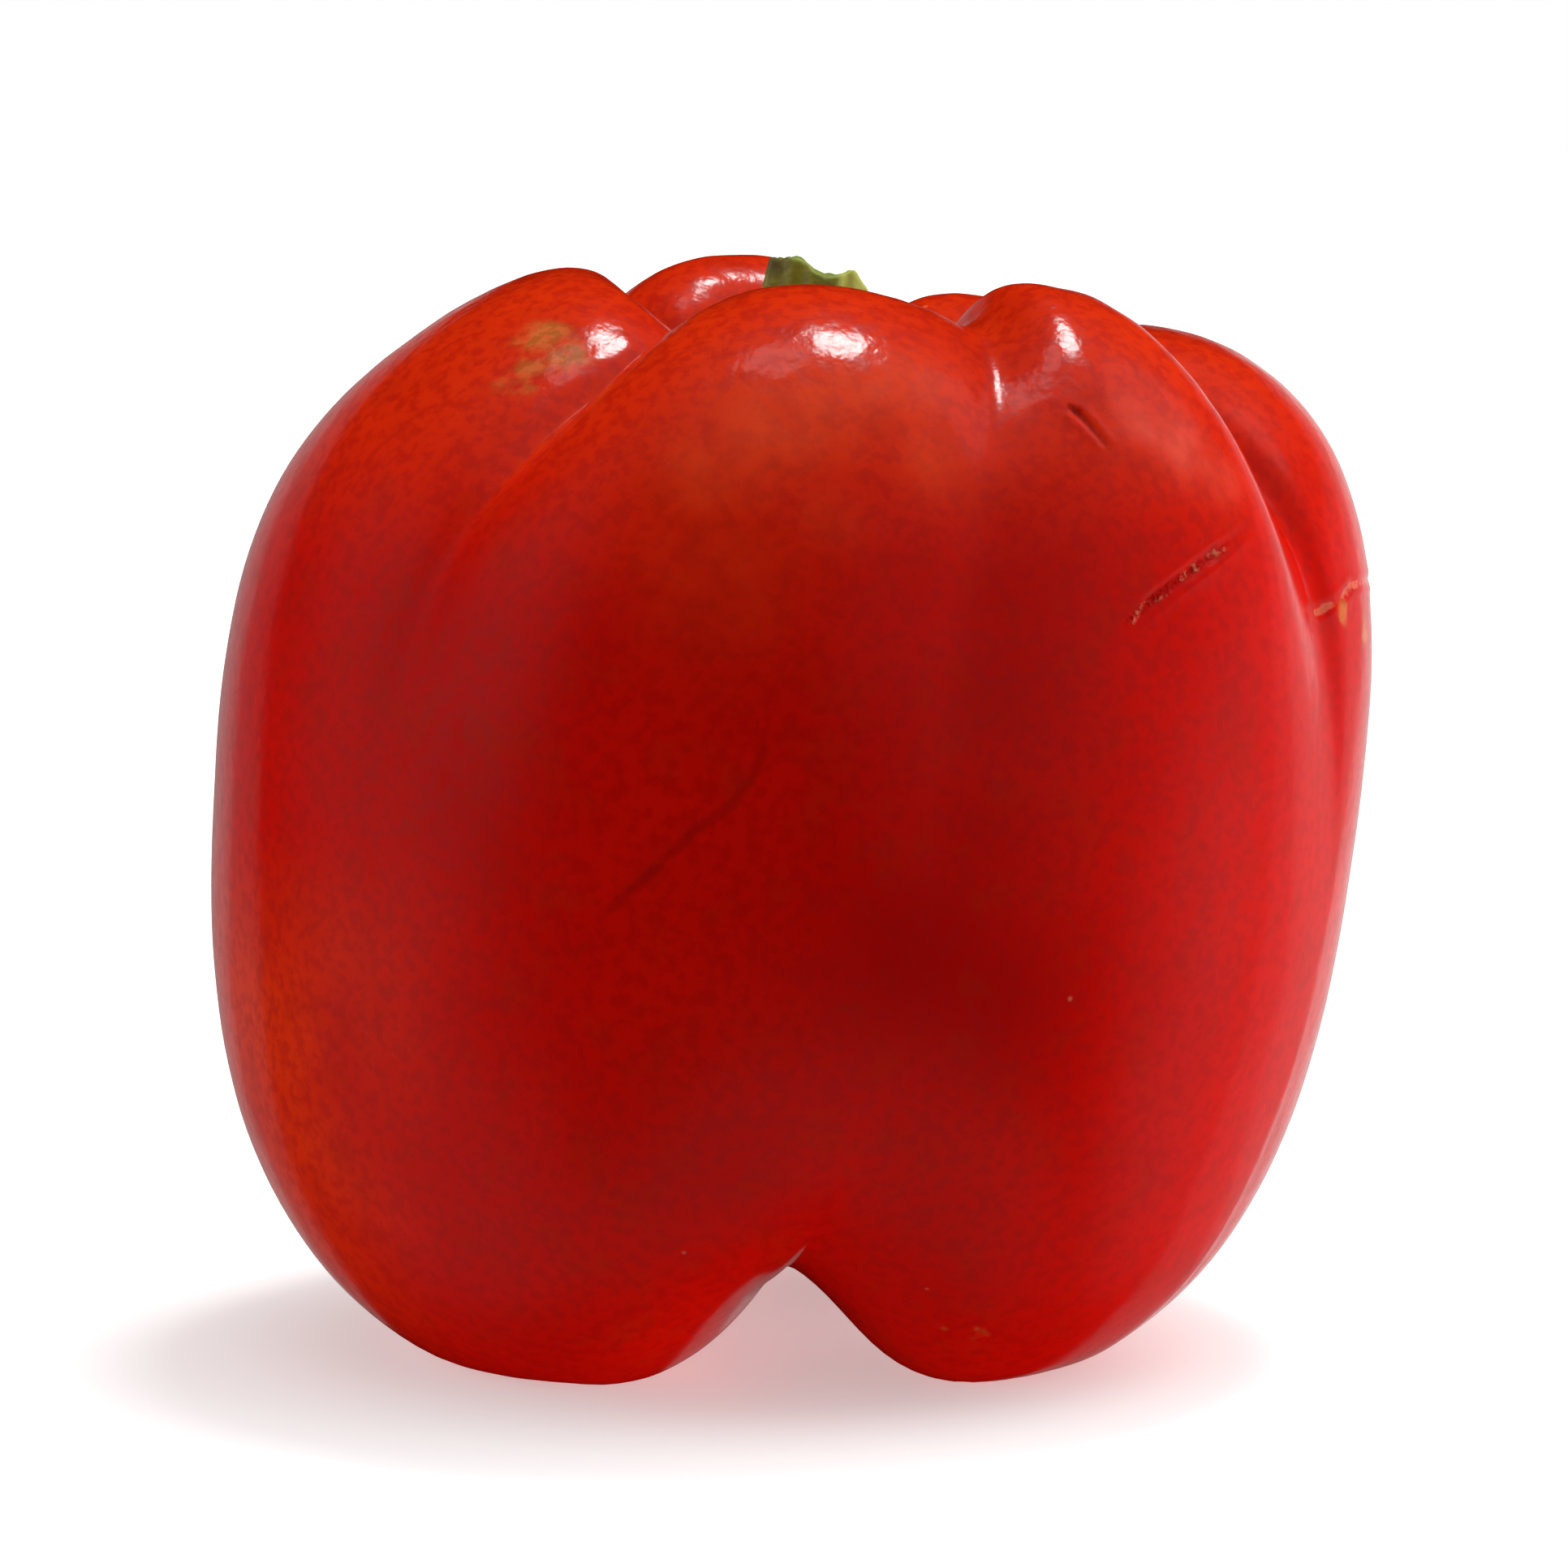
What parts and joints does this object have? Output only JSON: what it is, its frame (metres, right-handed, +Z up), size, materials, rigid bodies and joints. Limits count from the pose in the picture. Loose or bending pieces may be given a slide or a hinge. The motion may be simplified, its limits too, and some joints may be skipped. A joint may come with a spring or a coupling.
{
  "type": "bell pepper",
  "caption": "Blocky red bell pepper with creased shoulders, a green calyx in its hollow and a short cut stem, standing on its feet.",
  "frame": {"origin": "under the middle of the pepper's outline, on the plane that its feet stand on", "axes": "+Z up along the pepper's axis to the stem, +X along its widest extent, -Y towards the side with the widest smooth face"},
  "size_m": [0.0938, 0.0856, 0.0879],
  "materials": {
    "skin": "waxy, glossy, finely dimpled red skin",
    "calyx": "satin green, faintly ribbed",
    "stem": "satin olive green, ribbed, with a pale fibrous cut end"
  },
  "bodies": {
    "root": {"fruit": "skin", "calyx": "calyx", "stem": "stem"}
  },
  "joints": []
}
